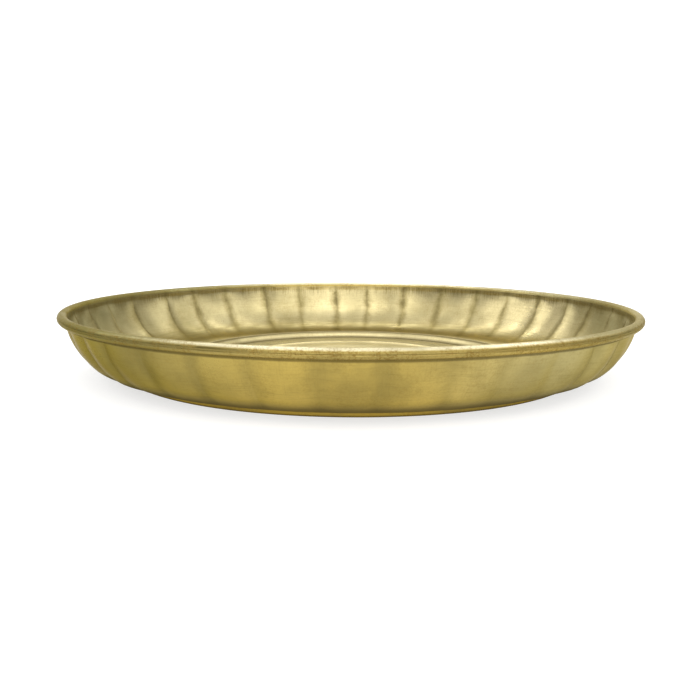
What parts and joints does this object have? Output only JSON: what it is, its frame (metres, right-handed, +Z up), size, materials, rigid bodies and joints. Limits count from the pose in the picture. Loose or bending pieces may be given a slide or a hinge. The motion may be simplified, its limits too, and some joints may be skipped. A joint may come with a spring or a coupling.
{
  "type": "tray",
  "caption": "Round shallow brass tray with a fluted wall, a wired rolled rim, a raised ring in its base and a low foot ring.",
  "frame": {"origin": "centre of the circle that the foot ring stands on, on the plane it rests on", "axes": "+Z up along the tray's axis; X and Y lie in the plane it stands on, with a flute centred on +X"},
  "size_m": [0.305, 0.305, 0.0345],
  "materials": {
    "dish_brass": "brushed, lightly tarnished",
    "wire_brass": "plain drawn wire",
    "foot_brass": "brushed, with brown tarnish in its corner"
  },
  "bodies": {
    "root": {"tray_dish": "dish_brass", "rim_wire": "wire_brass", "foot_ring": "foot_brass"}
  },
  "joints": []
}
